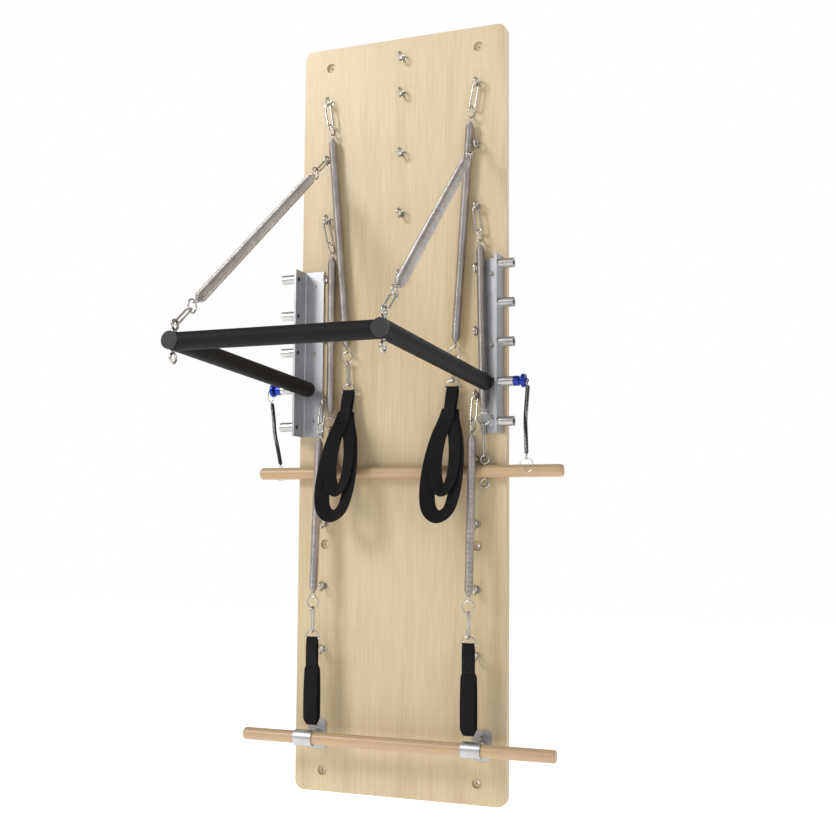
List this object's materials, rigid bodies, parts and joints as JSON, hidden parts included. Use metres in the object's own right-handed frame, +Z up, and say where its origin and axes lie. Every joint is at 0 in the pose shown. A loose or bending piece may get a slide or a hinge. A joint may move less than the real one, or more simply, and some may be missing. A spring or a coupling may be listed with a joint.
{
  "type": "wall-mounted pilates spring board",
  "caption": "Tall wooden wall board with side brackets, a swinging push-through bar, hanging extension springs, wooden bars, hand loops and foot straps.",
  "frame": {"origin": "centre of the board's flat back face, where it meets the wall", "axes": "+Z up, +Y into the wall, +X to the right as seen from the front"},
  "size_m": [0.847, 0.7365, 2],
  "materials": {
    "board_wood": "clear lacquered light veneer",
    "bar_wood": "clear lacquered beech",
    "bracket_aluminium": "brushed",
    "clamp_aluminium": "satin",
    "bush_steel": "turned",
    "sleeve_foam": "matte foam",
    "black_plastic": "moulded",
    "tube_steel": "zinc plated",
    "knob_anodised": "blue anodised",
    "link_steel": "bright zinc",
    "cord_plastic": "coiled lanyard",
    "strap_webbing": "black webbing",
    "spring_steel": "plated spring wire",
    "fastener_steel": "zinc plated"
  },
  "bodies": {
    "wall_board": {"board": "board_wood", "board_eyebolts": "fastener_steel", "eyebolt_washers": "fastener_steel", "eyebolt_nuts": "fastener_steel", "bracket_left": "bracket_aluminium", "bracket_right": "bracket_aluminium", "bracket_screws": "fastener_steel", "pin_bushes": "bush_steel", "foot_bar": "bar_wood", "foot_bar_clamp_left": "clamp_aluminium", "foot_bar_clamp_right": "clamp_aluminium", "clamp_screws": "fastener_steel", "roll_down_top_links": "link_steel", "roll_down_springs": "spring_steel"},
    "push_bar": {"push_bar_tube": "tube_steel", "push_bar_sleeves": "sleeve_foam", "push_bar_end_caps": "black_plastic", "push_bar_bushes": "black_plastic", "push_bar_eyebolts": "fastener_steel"},
    "roll_down": {"roll_down_bar": "bar_wood", "roll_down_eyebolts": "fastener_steel", "roll_down_low_links": "link_steel"},
    "pin_left": {"detent_pin_left": "fastener_steel", "pin_knob_left": "knob_anodised", "lanyard_left": "cord_plastic", "lanyard_clip_left": "link_steel"},
    "bar_hook_left": {"bar_spring_left_top_links": "link_steel"},
    "bar_coil_left": {"bar_spring_left": "spring_steel"},
    "bar_link_left": {"bar_spring_left_low_links": "link_steel"},
    "arm_spring_left": {"arm_spring_left_top_links": "link_steel", "arm_spring_left": "spring_steel"},
    "arm_link_left": {"arm_spring_left_low_links": "link_steel"},
    "hand_strap_left": {"hand_strap_left": "strap_webbing", "hand_strap_left_d_ring": "link_steel"},
    "foot_spring_left": {"foot_spring_left_top_links": "link_steel", "foot_spring_left": "spring_steel", "foot_spring_left_low_links": "link_steel"},
    "foot_strap_left": {"foot_strap_left": "strap_webbing", "foot_strap_left_d_ring": "link_steel"},
    "pin_right": {"detent_pin_right": "fastener_steel", "pin_knob_right": "knob_anodised", "lanyard_right": "cord_plastic", "lanyard_clip_right": "link_steel"},
    "bar_hook_right": {"bar_spring_right_top_links": "link_steel"},
    "bar_coil_right": {"bar_spring_right": "spring_steel"},
    "bar_link_right": {"bar_spring_right_low_links": "link_steel"},
    "arm_spring_right": {"arm_spring_right_top_links": "link_steel", "arm_spring_right": "spring_steel"},
    "arm_link_right": {"arm_spring_right_low_links": "link_steel"},
    "hand_strap_right": {"hand_strap_right": "strap_webbing", "hand_strap_right_d_ring": "link_steel"},
    "foot_spring_right": {"foot_spring_right_top_links": "link_steel", "foot_spring_right": "spring_steel", "foot_spring_right_low_links": "link_steel"},
    "foot_strap_right": {"foot_strap_right": "strap_webbing", "foot_strap_right_d_ring": "link_steel"}
  },
  "joints": [
    {"name": "bar_swing", "type": "hinge", "parent": "wall_board", "child": "push_bar", "pos_m": [0, -0.066, 0.052], "axis": [1, 0, 0], "range_deg": [-5, 45]},
    {"name": "roll_down_pull", "type": "slide", "parent": "wall_board", "child": "roll_down", "axis": [0, 0, -1], "range_m": [0, 0.05], "deforming": ["roll_down_springs"]},
    {"name": "pin_pull_left", "type": "slide", "parent": "wall_board", "child": "pin_left", "axis": [-1, 0, 0], "range_m": [0, 0.025]},
    {"name": "bar_hook_swing_left", "type": "hinge", "parent": "wall_board", "child": "bar_hook_left", "pos_m": [-0.2145, -0.038, 0.6808], "axis": [1, 0, 0], "range_deg": [-2.6, 23]},
    {"name": "bar_spring_stretch_left", "type": "slide", "parent": "bar_hook_left", "child": "bar_coil_left", "axis": [-0.042, -0.7666, -0.6407], "range_m": [-0.034, 0.292], "deforming": ["bar_spring_left"]},
    {"name": "bar_link_swing_left", "type": "hinge", "parent": "push_bar", "child": "bar_link_left", "pos_m": [-0.25, -0.70291, 0.12507], "axis": [1, 0, 0], "range_deg": [-22.5, 2.6]},
    {"name": "arm_spring_swing_left", "type": "hinge", "parent": "wall_board", "child": "arm_spring_left", "pos_m": [-0.2145, -0.038, 0.845], "axis": [1, 0, 0], "range_deg": [-25, 0]},
    {"name": "arm_spring_stretch_left", "type": "slide", "parent": "arm_spring_left", "child": "arm_link_left", "axis": [0.0872, 0, -0.9962], "range_m": [0, 0.065], "deforming": ["arm_spring_left"]},
    {"name": "hand_strap_swing_left", "type": "hinge", "parent": "arm_link_left", "child": "hand_strap_left", "pos_m": [-0.13969, -0.038, 0.06492], "axis": [1, 0, 0], "range_deg": [-30, 0]},
    {"name": "foot_spring_swing_left", "type": "hinge", "parent": "wall_board", "child": "foot_spring_left", "pos_m": [-0.2145, -0.038, 0.024], "axis": [1, 0, 0], "range_deg": [-55, 0]},
    {"name": "foot_strap_swing_left", "type": "hinge", "parent": "foot_spring_left", "child": "foot_strap_left", "pos_m": [-0.2145, -0.08579, -0.58057], "axis": [1, 0, 0], "range_deg": [-30, 0]},
    {"name": "pin_pull_right", "type": "slide", "parent": "wall_board", "child": "pin_right", "axis": [1, 0, 0], "range_m": [0, 0.025]},
    {"name": "bar_hook_swing_right", "type": "hinge", "parent": "wall_board", "child": "bar_hook_right", "pos_m": [0.2145, -0.038, 0.6808], "axis": [1, 0, 0], "range_deg": [-2.6, 23]},
    {"name": "bar_spring_stretch_right", "type": "slide", "parent": "bar_hook_right", "child": "bar_coil_right", "axis": [0.042, -0.7666, -0.6407], "range_m": [-0.034, 0.292], "deforming": ["bar_spring_right"]},
    {"name": "bar_link_swing_right", "type": "hinge", "parent": "push_bar", "child": "bar_link_right", "pos_m": [0.25, -0.70291, 0.12507], "axis": [1, 0, 0], "range_deg": [-22.5, 2.6]},
    {"name": "arm_spring_swing_right", "type": "hinge", "parent": "wall_board", "child": "arm_spring_right", "pos_m": [0.2145, -0.038, 0.845], "axis": [1, 0, 0], "range_deg": [-25, 0]},
    {"name": "arm_spring_stretch_right", "type": "slide", "parent": "arm_spring_right", "child": "arm_link_right", "axis": [-0.0663, 0, -0.9978], "range_m": [0, 0.065], "deforming": ["arm_spring_right"]},
    {"name": "hand_strap_swing_right", "type": "hinge", "parent": "arm_link_right", "child": "hand_strap_right", "pos_m": [0.15404, -0.038, 0.06382], "axis": [1, 0, 0], "range_deg": [-30, 0]},
    {"name": "foot_spring_swing_right", "type": "hinge", "parent": "wall_board", "child": "foot_spring_right", "pos_m": [0.2145, -0.038, 0.024], "axis": [1, 0, 0], "range_deg": [-55, 0]},
    {"name": "foot_strap_swing_right", "type": "hinge", "parent": "foot_spring_right", "child": "foot_strap_right", "pos_m": [0.2145, -0.08579, -0.58057], "axis": [1, 0, 0], "range_deg": [-30, 0]}
  ],
  "couplings": [
    {"joint": "bar_hook_swing_left", "follows": "bar_swing", "ratio": 0.50721},
    {"joint": "bar_spring_stretch_left", "follows": "bar_swing", "m_per_rad": 0.36847},
    {"joint": "bar_link_swing_left", "follows": "bar_swing", "ratio": -0.49279},
    {"joint": "bar_hook_swing_right", "follows": "bar_swing", "ratio": 0.50721},
    {"joint": "bar_spring_stretch_right", "follows": "bar_swing", "m_per_rad": 0.36847},
    {"joint": "bar_link_swing_right", "follows": "bar_swing", "ratio": -0.49279}
  ]
}
